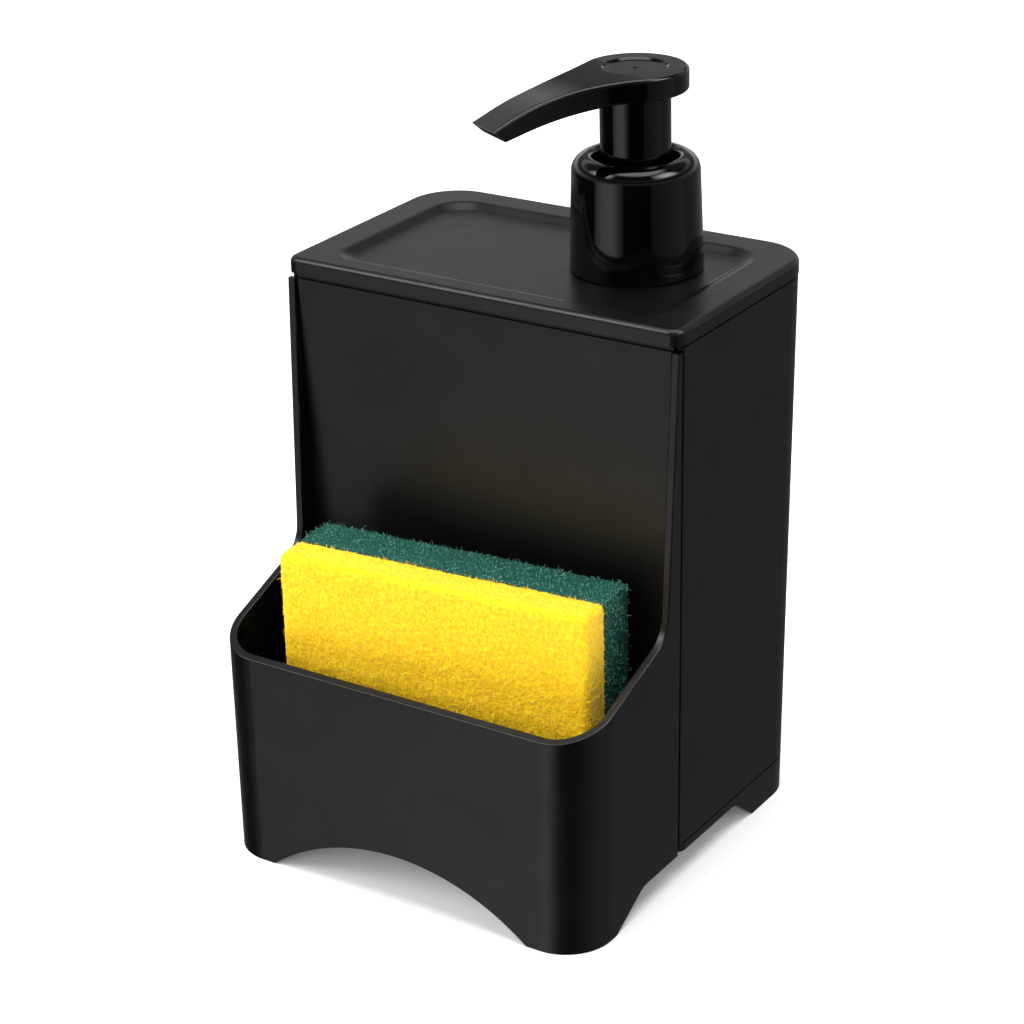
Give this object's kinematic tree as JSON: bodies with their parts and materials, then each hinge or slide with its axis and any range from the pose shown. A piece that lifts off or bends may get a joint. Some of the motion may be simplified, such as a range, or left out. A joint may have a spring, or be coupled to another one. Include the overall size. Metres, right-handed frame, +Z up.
{
  "type": "soap pump caddy",
  "caption": "Black soap dispenser with an off-centre lotion pump on a flat lid, and a front tray with tall wings that holds a yellow and green sponge.",
  "frame": {"origin": "on the table, under the middle of the whole object's width and depth", "axes": "+Z up; the sponge tray faces -Y; +X is to the right seen from the front"},
  "size_m": [0.112, 0.1104, 0.1937],
  "materials": {
    "body_plastic": "satin moulded black",
    "pump_plastic": "gloss moulded black",
    "natural_plastic": "translucent natural",
    "piston_plastic": "waxy white",
    "seal_rubber": "soft black",
    "gasket_foam": "soft white",
    "spring_steel": "drawn wire",
    "ball_steel": "polished",
    "sponge_foam": "open-cell yellow foam",
    "scourer_fibre": "matted green fibre"
  },
  "bodies": {
    "caddy": {"front_caddy": "body_plastic", "reservoir": "body_plastic", "base_foot": "body_plastic"},
    "lid": {"lid": "body_plastic", "lid_seal": "seal_rubber"},
    "pump_barrel": {"pump_cylinder": "natural_plastic", "chaplet": "pump_plastic", "neck_gasket": "gasket_foam", "ball_retainer": "natural_plastic", "dip_tube": "natural_plastic", "return_spring": "spring_steel"},
    "closure": {"pump_closure": "pump_plastic"},
    "plunger": {"piston": "piston_plastic"},
    "head": {"actuator_head": "pump_plastic", "stem": "pump_plastic", "stem_plug": "natural_plastic"},
    "ball": {"inlet_ball": "ball_steel"},
    "sponge": {"sponge_foam": "sponge_foam", "scourer_pad": "scourer_fibre"}
  },
  "joints": [
    {"name": "lid_lift", "type": "slide", "parent": "caddy", "child": "lid", "axis": [0, 0, 1], "range_m": [0, 0.16]},
    {"name": "pump_rise", "type": "slide", "parent": "lid", "child": "pump_barrel", "axis": [0, 0, 1], "range_m": [0, 0.007]},
    {"name": "closure_turn", "type": "hinge", "parent": "pump_barrel", "child": "closure", "pos_m": [0.0215, 0.02615, 0.16], "axis": [0, 0, 1], "range_deg": [0, 540]},
    {"name": "pump_press", "type": "slide", "parent": "pump_barrel", "child": "plunger", "axis": [0, 0, -1], "range_m": [0, 0.012], "stiffness_N_per_m": 700, "deforming": ["return_spring"]},
    {"name": "head_swivel", "type": "hinge", "parent": "plunger", "child": "head", "pos_m": [0.0215, 0.02615, 0.19], "axis": [0, 0, 1], "continuous": true},
    {"name": "ball_lift", "type": "slide", "parent": "pump_barrel", "child": "ball", "axis": [0, 0, 1], "range_m": [0, 0.0028]},
    {"name": "sponge_lift", "type": "slide", "parent": "caddy", "child": "sponge", "axis": [0, 0, 1], "range_m": [0, 0.07]}
  ],
  "couplings": [
    {"joint": "pump_rise", "follows": "closure_turn", "m_per_rad": 0.00067}
  ]
}
